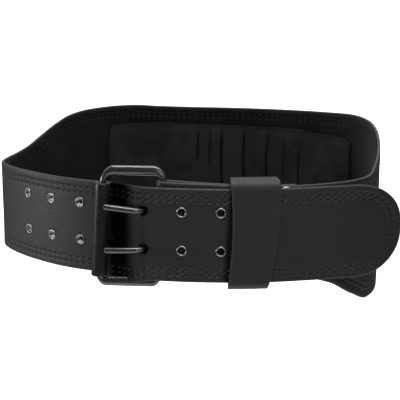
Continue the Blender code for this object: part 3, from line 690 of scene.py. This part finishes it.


# Lumbar pad
# Foam cushion in brushed suede, sewn to the lining inside the wide back. The belt's bend has
# pressed upright creases into it; their bottoms and the roll along its top are painted dark as
# painted shade.

PAD_THICK = 9.0 * MM
PAD_RIM = 1.6 * MM
PAD_START = 0.315
PAD_END = 0.606
PAD_EDGES = [
    # place as a share of the girth, top and bottom as shares of half the back width
    (0.315, 0.68, 0.70), (0.400, 0.72, 0.72), (0.500, 0.74, 0.74), (0.606, 0.77, 0.74),
]
PAD_CORNER = 12 * MM
PAD_SEAT = -(LEATHER + LINING + 2 * PLAY)
CREASES = [
    # place as a share of the girth, top and bottom as shares of half the back width, lean,
    # depth in mm
    (0.385, 0.50, -0.40, 0.000, 2.4), (0.403, 0.56, -0.10, 0.012, 1.8),
    (0.423, 0.66, -0.55, 0.000, 3.2), (0.449, 0.70, -0.60, 0.024, 3.4),
    (0.474, 0.72, -0.60, 0.024, 3.2), (0.487, 0.72, 0.00, 0.024, 1.8),
    (0.501, 0.68, 0.10, -0.012, 2.6),
]
CREASE_HALF = 1.7 * MM
CREASE_MIDDLE = 10 * MM
CREASE_WANDER = 0.5 * MM
CREASE_WAVE = 9 * MM
# Crease depth in mm at which the painted shade in a crease is full
CREASE_FULL_SHADE = 2.5
PAD_RIPPLE = 0.35 * MM
RIPPLE_LENGTHS = (13 * MM, 23 * MM, 17 * MM)
PAD_FADE = 2 * MM
TOP_SHADE = (2 * MM, 2.5 * MM)
VOXEL = 2.6 * MM
SEWN_DEPTH = 2.2 * MM


def pad_form(grow):
    """Pad as rings across its width: flat back, front crowned as the fourth root of the span's
    fourth power from the edge, corners rounded in height."""
    places = np.linspace(PAD_START, PAD_END, 120)
    spans = np.sin(np.linspace(-np.pi / 2, np.pi / 2, 41))
    end_gap = np.minimum(places - PAD_START, PAD_END - places) * GIRTH
    corner = PAD_CORNER * (1 - np.sqrt(1 - np.clip(1 - end_gap / PAD_CORNER, 0, 1) ** 2))
    high = BACK_WIDTH / 2 * through(PAD_EDGES, 1, places) - corner
    low = -BACK_WIDTH / 2 * through(PAD_EDGES, 2, places) + corner
    swell = np.sqrt(1 - (1 - np.clip(end_gap / (2 * PAD_CORNER), 0, 1)) ** 2)
    level = ((low + high) / 2)[:, None] + spans * ((high - low) / 2)[:, None]
    crown = np.sqrt(np.clip(1 - np.abs(spans) ** 4, 0, 1)) * swell[:, None]
    depth = PAD_RIM + (PAD_THICK - PAD_RIM) * crown * grow
    spot, out = wear_line(places * GIRTH)
    front = spot[:, None] + (PAD_SEAT - depth)[..., None] * out[:, None]
    back = np.broadcast_to((spot + PAD_SEAT * out)[:, None], front.shape)
    plan = np.concatenate([front, back[:, ::-1]], 1)
    return np.concatenate([plan, np.concatenate([level, level[:, ::-1]], 1)[..., None]], 2)


pad = skin("lumbar_cushion", pad_form(0.82))


def coordinates(mesh):
    """Vertex positions of a mesh as an array."""
    flat = np.zeros(len(mesh.vertices) * 3, np.float32)
    mesh.vertices.foreach_get("co", flat)
    return flat.reshape(-1, 3).astype(float)


def from_ring(points):
    """Place along the wearing line, as a share of the girth, and height off it, of points."""
    plan = points[:, :2] - MIDDLE[:2]
    fine = np.linspace(PAD_START - 0.03, PAD_END + 0.03, 900)
    spot, out = wear_line(fine * GIRTH)
    nearest = np.concatenate([((block[:, None] - spot) ** 2).sum(2).argmin(1)
                              for block in np.array_split(plan, len(plan) // 2000 + 1)])
    return fine[nearest], ((plan - spot[nearest]) * out[nearest]).sum(1), out[nearest]


voxels = pad.modifiers.new("voxels", "REMESH")
voxels.mode, voxels.voxel_size, voxels.use_smooth_shade = "VOXEL", VOXEL, True
applied(pad)
flat_form = coordinates(pad.data)
share, height, out = from_ring(flat_form)
sewn_down = pad.vertex_groups.new(name="sewn_down")
held = np.flatnonzero(height > PAD_SEAT - SEWN_DEPTH)
sewn_down.add(held.tolist(), 1.0, "REPLACE")
cloth = pad.modifiers.new("cloth", "CLOTH")
cloth.settings.vertex_group_mass = "sewn_down"
cloth.settings.use_pressure = True
cloth.settings.uniform_pressure_force = 4.0
cloth.settings.effector_weights.gravity = 0.0
cloth.settings.tension_stiffness = cloth.settings.compression_stiffness = 12
cloth.point_cache.frame_start, cloth.point_cache.frame_end = 1, 20
for moment in range(1, 21):
    bpy.context.scene.frame_set(moment)
applied(pad)
bpy.context.scene.frame_set(1)
MOST_SWELL = 5 * MM
moved = coordinates(pad.data) - flat_form
length = np.linalg.norm(moved, axis=1)[:, None]
moved *= np.minimum(1, MOST_SWELL / np.maximum(length, 1e-9))
swollen = flat_form + moved
behind_seat = np.clip((moved[:, :2] * out).sum(1) + height - PAD_SEAT, 0, None)
swollen[:, :2] -= behind_seat[:, None] * out
pad.data.vertices.foreach_set("co", swollen.astype(np.float32).ravel())
finer = pad.modifiers.new("finer", "SUBSURF")
finer.levels = finer.render_levels = 1
applied(pad)

# Creases, then the drape of the suede between them
points = coordinates(pad.data)
share, height, out = from_ring(points)
level = points[:, 2] - MIDDLE[2]
front = np.clip((PAD_SEAT - PAD_RIM - height) / PAD_FADE, 0, 1)
dent = np.zeros(len(points))
painted_crease_shade = np.zeros(len(points))
for place, top, bottom, lean, depth in CREASES:
    line = place * GIRTH + lean * (level - CREASE_MIDDLE)
    line = line + CREASE_WANDER * np.sin(level / CREASE_WAVE)
    near = np.exp(-((share * GIRTH - line) / CREASE_HALF) ** 2)
    shoulder = np.exp(-((share * GIRTH - line) / (4.2 * CREASE_HALF)) ** 2)
    fade = np.clip((top * BACK_WIDTH / 2 - level) / PAD_CORNER, 0, 1)
    fade = fade * np.clip((level - bottom * BACK_WIDTH / 2) / PAD_CORNER, 0, 1)
    dent += depth * MM * (near - 0.35 * shoulder) * fade
    painted_crease_shade = np.maximum(painted_crease_shade, np.minimum(1, near * depth / CREASE_FULL_SHADE) * fade)
across_run, across_tilt, upright = RIPPLE_LENGTHS
ripple = PAD_RIPPLE * np.sin(share * GIRTH / across_run + level / across_tilt) * np.sin(
    level / upright)
points[:, :2] += ((dent + ripple) * front)[:, None] * out
pad.data.vertices.foreach_set("co", points.astype(np.float32).ravel())
# Painted shade: creases, and a band along the pad's top roll at half strength, are marked for darkening
top_roll_shade = np.interp(share, [row[0] for row in PAD_EDGES], [row[1] for row in PAD_EDGES])
top_roll_shade = np.exp(-((level - (top_roll_shade * BACK_WIDTH / 2 - TOP_SHADE[0])) / TOP_SHADE[1]) ** 2)
layer = pad.data.attributes.new("painted_crease_shade", "FLOAT", "POINT")
layer.data.foreach_set("value", np.maximum(painted_crease_shade, 0.5 * top_roll_shade).astype(np.float32))
pad.data.shade_smooth()
pad.data.materials.clear()
CUSHION_SUEDE = suede_finish("brushed_suede_cushion", "#1c1a1b", "#272425")
cushion_tree = CUSHION_SUEDE.node_tree
cushion_color = cushion_tree.nodes["Principled BSDF"].inputs["Base Color"]
# Painted shade: the mark darkens the cushion's colour toward near black
crease_shaded_color = mixed(cushion_tree, marked(cushion_tree, "painted_crease_shade"),
               cushion_color.links[0].from_socket, tone("#040404"))
cushion_tree.links.new(crease_shaded_color, cushion_color)
pad.data.materials.append(CUSHION_SUEDE)
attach(pad, "root")
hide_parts("lumbar_pad")


# Buckle frame
# Steel bar bent to a rounded rectangle and butt-welded, coated satin black: round on the right,
# where the strap's fold turns on it, and in the roller, and broader along its top and bottom.

BAR_HALF_WIDTH = 4.6 * MM
BUCKLE_HALF_HEIGHT = 57.5 * MM
CORNER_TOP = 10.5 * MM
CORNER_BOTTOM = 7 * MM
ROLLER_PLACE = -92 * MM
ROLLER_RADIUS = 7.5 * MM
ROLLER_CLEARANCE = 2.6 * MM
ROLLER_OUT = float(lift(GIRTH + ROLLER_PLACE)) + ROLLER_CLEARANCE + ROLLER_RADIUS


def tube_grid(path, radii, sides):
    """Rings carried along a path of points, each square to the run there."""
    run = np.gradient(path, axis=0)
    run /= np.linalg.norm(run, axis=1)[:, None]
    side = np.cross(run, (0.0, 0.0, 1.0))
    flat = np.linalg.norm(side, axis=1) < 0.05
    side[flat] = np.cross(run[flat], (1.0, 0.0, 0.0))
    side /= np.linalg.norm(side, axis=1)[:, None]
    turn = np.linspace(0, 2 * np.pi, sides, endpoint=False)[:, None]
    over = np.cross(run, side)
    around = np.cos(turn) * side[:, None] + np.sin(turn) * over[:, None]
    return path[:, None] + np.reshape(radii, (-1, 1, 1)) * around


def coated_steel(name, color, roughness, index):
    """Electrophoretic black enamel on steel: a thin even film with a soft gloss, paler and
    rougher in blotches 6 mm across, with faint ripples 6 mm long."""
    made, tree, shader = finish_of(name, color, roughness, IOR=index)
    ripple = noise(tree, 6 * MM, 1)
    gloss = ramp(tree, ripple, 0, 1, roughness - 0.06, roughness + 0.08, False)
    feed(tree, shader, {"Base Color": mixed(tree, ripple, tone(color), tone("#232225")),
                        "Roughness": gloss,
                        "Normal": bumped(tree, ripple, 0.02 * MM, 0.4)})
    return made


BLACK_STEEL = coated_steel("black_enamelled_steel", "#181719", 0.25, 2.1)
roller_middle = off_line(GIRTH + ROLLER_PLACE, ROLLER_OUT)[0]
across = roller_middle - hinge_middle
frame_width = float(np.linalg.norm(across))
across /= frame_width
corners, widths = [], []
for far, up, radius, quarter in ((1, -1, CORNER_BOTTOM, 3), (1, 1, CORNER_TOP, 0),
                                 (0, 1, CORNER_TOP, 1), (0, -1, CORNER_BOTTOM, 2)):
    turn = np.linspace(quarter, quarter + 1, 12) * np.pi / 2
    over = far * frame_width + (radius if far == 0 else -radius) + radius * np.cos(turn)
    level = (BUCKLE_RISE + up * (BUCKLE_HALF_HEIGHT - BAR_HALF_WIDTH - radius)
             + radius * np.sin(turn))
    over -= BUCKLE_TILT * (level - BUCKLE_RISE)
    corners.append(np.column_stack([hinge_middle + over[:, None] * across, level]))
    widths.append(HINGE_BAR + (BAR_HALF_WIDTH - HINGE_BAR) * np.sin(turn) ** 4)
bar_path = np.concatenate(corners)
run = np.roll(bar_path, -1, 0) - np.roll(bar_path, 1, 0)
run /= np.linalg.norm(run, axis=1)[:, None]
square = np.append([-across[1], across[0]], 0.0)
turn = np.linspace(0, 2 * np.pi, 20, endpoint=False)[:, None]
in_plane = np.concatenate(widths)[:, None, None] * np.cross(run, square)[:, None]
bar = bar_path[:, None] + HINGE_BAR * np.cos(turn) * square + np.sin(turn) * in_plane
buckle = skin("frame_bar", np.concatenate([bar, bar[:1]]), caps=(False, False), merge=WELD)
buckle.data.materials.append(BLACK_STEEL)
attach(buckle, "root")
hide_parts("buckle_frame")


# Roller
# Steel tube, loose on the frame's left bar, black like it; its ends are turned over.

ROLLER_LENGTH = 89 * MM
ROLLER_RISE = 1.2 * MM
ROLLER_PLAY = 0.8 * MM
ROLLER_LIP = 1.4 * MM
ROLLER_BREAK = 0.5 * MM
ROLLER_BELT = 8 * MM
bore = HINGE_BAR + ROLLER_PLAY
end = ROLLER_LENGTH / 2
turn = np.linspace(0, np.pi / 2, 6)
lip_curve = np.column_stack([ROLLER_RADIUS - ROLLER_LIP + ROLLER_LIP * np.sin(turn),
                             end - ROLLER_LIP + ROLLER_LIP * np.cos(turn)])
half_tube = [(bore, 0), (bore, end - ROLLER_BREAK), (bore + ROLLER_BREAK, end), *lip_curve,
             (ROLLER_RADIUS, end - ROLLER_BELT)]
roller_profile = half_tube + [(radius, -height) for radius, height in half_tube[::-1]]
roller_axis = np.append(-BUCKLE_TILT * across, 1.0)
roller_spot = np.append(roller_middle, BUCKLE_RISE) + (ROLLER_RISE - BUCKLE_RISE) * roller_axis
roller = skin("roller_tube", turned_grid(
    roller_spot, roller_axis / np.linalg.norm(roller_axis), roller_profile, 48),
    caps=(False, False), merge=WELD)
roller.data.set_sharp_from_angle(angle=math.radians(50))
roller.data.materials.append(coated_steel("worn_black_enamel", "#161517", 0.34, 1.45))
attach(roller, "root")
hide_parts("buckle_roller")


# Prongs
# Two tongues of steel bar on the hinge bar. Each comes out through one pair of holes and
# rests on the roller; its end is cut square and slightly rounded.

PRONG_RADIUS = 2.9 * MM
PRONG_EYE_WIRE = 1.5 * MM
PRONG_REACH = 46.7 * MM
PRONG_HEIGHT = 17.0 * MM
PRONG_BLUNT = 0.8 * MM
PRONG_PATH = [
    # share of the reach, share of the height off the wearing line, thickness share
    (0.096, 0.098, 0.56), (0.193, 0.088, 0.55), (0.243, 0.124, 0.58), (0.268, 0.232, 0.64),
    (0.282, 0.372, 0.68), (0.297, 0.556, 0.72), (0.330, 0.736, 0.80), (0.407, 0.850, 0.96),
    (0.557, 0.912, 1.00), (0.739, 0.955, 1.00), (0.889, 0.983, 1.00), (1.000, 1.000, 1.00),
]
eye_radius = HINGE_BAR + PLAY + PRONG_EYE_WIRE
eye_turn = np.radians(np.linspace(115, 350, 12))[:, None]
eye = hinge_middle + eye_radius * (np.cos(eye_turn) * hinge_normal + np.sin(eye_turn) * hinge_left)
shaft_along, shaft_out, shaft_thick = (np.array(column) for column in zip(*PRONG_PATH))
shaft_along = shaft_along * PRONG_REACH
shaft = off_line(HINGE_PLACE - shaft_along, shaft_out * PRONG_HEIGHT)
prong_plan = np.concatenate([eye, shaft])
prong_thick = np.concatenate([np.full(len(eye), PRONG_EYE_WIRE), PRONG_RADIUS * shaft_thick])
prong_run = np.concatenate([[0], np.cumsum(np.linalg.norm(np.diff(prong_plan, axis=0), axis=1))])
hole_along = HOLE_PITCH * 3 - LAST_HOLE + HINGE_PLACE
splay = np.clip((shaft_along - hole_along) / (shaft_along[-1] - hole_along), 0, 1)
askew = np.concatenate([np.ones(len(eye)), np.clip(1 - shaft_along / hole_along, 0, 1)])
blunt = np.linspace(0, np.pi / 2, 6)
for name, hole_share, tip_share in (("upper", 1.0, 1.15), ("lower", -1.0, -1.13)):
    level = np.concatenate([np.zeros(len(eye)), splay]) * (tip_share - hole_share) + hole_share
    level = HOLE_RISE + level * HOLE_ROW
    lean = skew(np.full(len(level), HINGE_PLACE), level) * askew[:, None]
    rows = np.column_stack([prong_run, prong_plan + lean, level, prong_thick])
    steps = np.linspace(0, prong_run[-1], 90)
    fine = np.stack([through(rows, column, steps) for column in (1, 2, 3, 4)], 1)
    ahead = fine[-1, :3] - fine[-2, :3]
    ahead /= np.linalg.norm(ahead)
    tip = fine[-1, :3] + (np.sin(blunt) * PRONG_BLUNT)[:, None] * ahead
    shaft_path = np.concatenate([fine[:-1, :3], tip])
    radii = np.concatenate([fine[:-1, 3], PRONG_RADIUS - PRONG_BLUNT * (1 - np.cos(blunt))])
    tongue = skin(f"tongue_{name}", tube_grid(shaft_path, radii, 24))
    tongue.data.set_sharp_from_angle(angle=math.radians(50))
    tongue.data.materials.append(BLACK_STEEL)
    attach(tongue, "root")
    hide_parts(f"prong_{name}")


# Keeper
# Band of the same leather, closed at the back, which slides on the strap and holds its tail.
# It is drawn left at both ends and tapers downward.

KEEPER_WIDTH = 41.5 * MM
KEEPER_PLACE = 50 * MM
KEEPER_LEATHER = 2.8 * MM
KEEPER_HALF_HEIGHT = 51.5 * MM
KEEPER_RISE = 0.7 * MM
KEEPER_PLAY = 1.0 * MM
KEEPER_CORNER = 9 * MM
KEEPER_SOFT = 0.9 * MM
KEEPER_SLANT = 0.060
KEEPER_DRAW = 1.5 * MM
KEEPER_BOW = 3 * MM
KEEPER_TAPER = 0.10
keeper_out = float(lift(GIRTH + KEEPER_PLACE)) + KEEPER_PLAY + KEEPER_LEATHER
keeper_in = flap_face - LEATHER - KEEPER_PLAY - KEEPER_LEATHER
keeper_middle, keeper_half = (keeper_out + keeper_in) / 2, (keeper_out - keeper_in) / 2
ring = []
for out_side, up, quarter in ((1, 1, 0), (-1, 1, 1), (-1, -1, 2), (1, -1, 3)):
    corner_out = out_side * (keeper_half - KEEPER_CORNER)
    corner_up = up * (KEEPER_HALF_HEIGHT - KEEPER_CORNER)
    turn = np.linspace(quarter, quarter + 1, 12) * np.pi / 2
    ring.append(np.column_stack([np.full(len(turn), corner_out), np.full(len(turn), corner_up),
                                 np.cos(turn), np.sin(turn)]))
    if out_side != up:
        flat_run = corner_up * np.linspace(1, -1, 16)[1:-1]
        ring.append(np.column_stack([np.full(len(flat_run), corner_out), flat_run,
                                     np.full(len(flat_run), out_side), np.zeros(len(flat_run))]))
ring = np.concatenate(ring)
turn = np.linspace(0, np.pi / 2, 5)
edge_along, edge_depth = KEEPER_SOFT * (1 - np.cos(turn)), KEEPER_SOFT * (1 - np.sin(turn))
face = np.linspace(-1, 1, 15)[1:-1] * (KEEPER_WIDTH / 2 - KEEPER_SOFT)
band_along = np.concatenate([edge_along - KEEPER_WIDTH / 2, face,
                             KEEPER_WIDTH / 2 - edge_along[::-1]])
band_depth = np.concatenate([edge_depth, np.zeros(len(face)), edge_depth[::-1]])
band_along = np.concatenate([band_along, band_along[::-1]])
band_depth = np.concatenate([band_depth, KEEPER_LEATHER - band_depth[::-1]])
radius = KEEPER_CORNER - band_depth[None]
up = ring[:, 1:2] + radius * ring[:, 3:4]
out_at = keeper_middle + ring[:, 0:1] + radius * ring[:, 2:3]
high = up / KEEPER_HALF_HEIGHT
lean = (KEEPER_PLACE - KEEPER_DRAW - KEEPER_BOW * high ** 2 + KEEPER_SLANT * up
        + band_along[None] * (1 + KEEPER_TAPER * (high - 0.5)))
spots = off_line(lean.ravel(), out_at.ravel()).reshape(*lean.shape, 2)
keeper_grid = np.concatenate([spots, (KEEPER_RISE + up)[..., None]], 2)
keeper_edge = np.broadcast_to(KEEPER_WIDTH / 2 - np.abs(band_along), lean.shape)
keeper = skin("keeper_band", np.concatenate([keeper_grid, keeper_grid[:1]]), caps=(False, False),
              marks={"edge": np.concatenate([keeper_edge, keeper_edge[:1]])}, merge=WELD)
keeper.data.materials.append(leather_finish("keeper_cowhide", False))
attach(keeper, "root")
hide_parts("keeper_loop")


# Eyelets and rivets
# Nickel-plated brass, stamped and rolled over on both faces; the pairs at the prongs and behind
# the roller get a dark, rough copy of the nickel as painted shade. The rivets of the folded end
# are domed caps on a shank.

EYELET_FLANGE = 4.9 * MM
EYELET_ROLL = 0.75 * MM
EYELET_HEIGHT = 0.95 * MM
EYELET_BACK = 0.6 * MM
EYELET_SINK = 0.1 * MM
NICKEL, nickel_tree, nickel_shader = finish_of("nickel_plated_brass", "#a9abad", 0.27, Metallic=1.0)
scuffs = noise(nickel_tree, 1.2 * MM, 2)
feed(nickel_tree, nickel_shader, {"Roughness": ramp(nickel_tree, scuffs, 0, 1, 0.24, 0.34, False)})
turn = np.linspace(0, np.pi, 9)
roll_middle = EYELET_FLANGE - EYELET_ROLL
front_face = LEATHER / 2 - EYELET_SINK
back_face = -(LEATHER / 2 + PLAY + LINING - EYELET_SINK)
rolled_lip = np.column_stack([roll_middle - EYELET_ROLL * np.cos(turn),
                              front_face + EYELET_HEIGHT * np.sin(turn)])
back_lip = np.column_stack([roll_middle + EYELET_ROLL * np.cos(turn),
                            back_face - EYELET_BACK * np.sin(turn)])
barrel = EYELET_BORE + EYELET_WALL
eyelet_profile = np.concatenate([rolled_lip, [(barrel, front_face), (barrel, back_face)], back_lip])
eyelet_profile = np.concatenate([eyelet_profile, eyelet_profile[:1]])
# Painted shade: a dark, rough copy of the nickel for the eyelets at the prongs and behind the roller
SHADED_NICKEL = finish_of("nickel_painted_shade", "#18181a", 0.6, Metallic=1.0)[0]
for label, (spot, out) in hole_spots.items():
    eyelet = skin(f"ring_{label}", turned_grid(spot, out, eyelet_profile, 28),
                  caps=(False, False), merge=WELD)
    eyelet.data.materials.append(SHADED_NICKEL if label in HOLES_IN_PAINTED_SHADE else NICKEL)
    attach(eyelet, "root")
    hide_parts(f"eyelet_{label}")

RIVET_HEAD = 5.0 * MM
RIVET_DOME = 1.8 * MM
flap_back = flap_face - LEATHER
turn = np.linspace(0.05, np.pi / 2, 9)
cap = np.column_stack([RIVET_HEAD * np.sin(turn), RIVET_DOME * np.cos(turn)])
back_cap = np.column_stack([cap[::-1, 0], flap_back - cap[::-1, 1]])
rivet_profile = np.concatenate([cap, [(RIVET_SHANK, 0.0), (RIVET_SHANK, flap_back)], back_cap])
for label, side in (("upper", 1), ("lower", -1)):
    rivet = skin(f"cap_{label}", turned_grid(*rivet_seat(side), rivet_profile, 28))
    rivet.data.set_sharp_from_angle(angle=math.radians(50))
    rivet.data.materials.append(NICKEL)
    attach(rivet, "root")
    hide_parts(f"rivet_{label}")


# Studio
# White floor under a pale sky that is brightest overhead and straight below, with soft boxes
# overhead, at the left and in front at the right, and the camera a little above the belt.

floor_mesh = bpy.data.meshes.new("floor")
floor_mesh.from_pydata([(-30, -30, 0), (30, -30, 0), (30, 30, 0), (-30, 30, 0)], [], [(0, 1, 2, 3)])
floor = bpy.data.objects.new("floor", floor_mesh)
bpy.context.scene.collection.objects.link(floor)
paper, paper_shader = finish_of("white_paper", "#fbfbfb", 0.9)[::2]
paper_shader.inputs["Specular IOR Level"].default_value = 0.0
paper_shader.inputs["Emission Color"].default_value = tone("#ffffff")
paper_shader.inputs["Emission Strength"].default_value = 0.85
floor_mesh.materials.append(paper)
floor.visible_diffuse = floor.visible_glossy = False

world = bpy.data.worlds.new("studio")
bpy.context.scene.world = world
world.use_nodes = True
sky = world.node_tree
sky.nodes["Background"].inputs["Color"].default_value = tone("#ffffff")
heading = add(sky, "SeparateXYZ", None, {0: add(sky, "TexCoord").outputs["Generated"]})
overhead = ramp(sky, heading.outputs["Z"], 0.1, 0.9)
beyond = ramp(sky, heading.outputs["Y"], -0.5, 0.5)
above = worked(sky, "MULTIPLY", overhead, beyond)
below = ramp(sky, heading.outputs["Z"], -0.3, -0.8, 0.10, 1.0)
feed(sky, sky.nodes["Background"], {
    "Strength": worked(sky, "MULTIPLY_ADD", above, 1.5, below)})


def soft_box(name, place, aim, width, height, watts):
    """Oblong lamp at a place, turned toward a point."""
    lamp = bpy.data.lights.new(name, "AREA")
    lamp.shape, lamp.size, lamp.size_y, lamp.energy = "RECTANGLE", width, height, watts
    holder = bpy.data.objects.new(name, lamp)
    bpy.context.scene.collection.objects.link(holder)
    holder.location = place
    away = np.array(place, float) - np.array(aim, float)
    holder.rotation_euler = (math.atan2(np.hypot(away[0], away[1]), away[2]), 0,
                             math.atan2(away[1], away[0]) + np.pi / 2)


soft_box("overhead_box", (0.0, -0.40, 1.3), (0, -0.05, 0.1), 1.2, 0.5, 11)
soft_box("left_box", (-1.65, -0.18, 0.14), (0, 0, 0.08), 0.6, 0.2, 9)
soft_box("right_box", (0.45, -1.55, 0.55), (0.05, 0, 0.08), 0.8, 0.4, 3)

lens = bpy.data.cameras.new("camera")
lens.lens, lens.sensor_width = 104.0, 36.0
camera = bpy.data.objects.new("camera", lens)
bpy.context.scene.collection.objects.link(camera)
camera.location = MIDDLE + (0, -1.17156, 0.25973)
camera.rotation_euler = (math.radians(77.5), 0.0, 0.0)
bpy.context.scene.camera = camera
bpy.context.scene.view_settings.view_transform = "Standard"
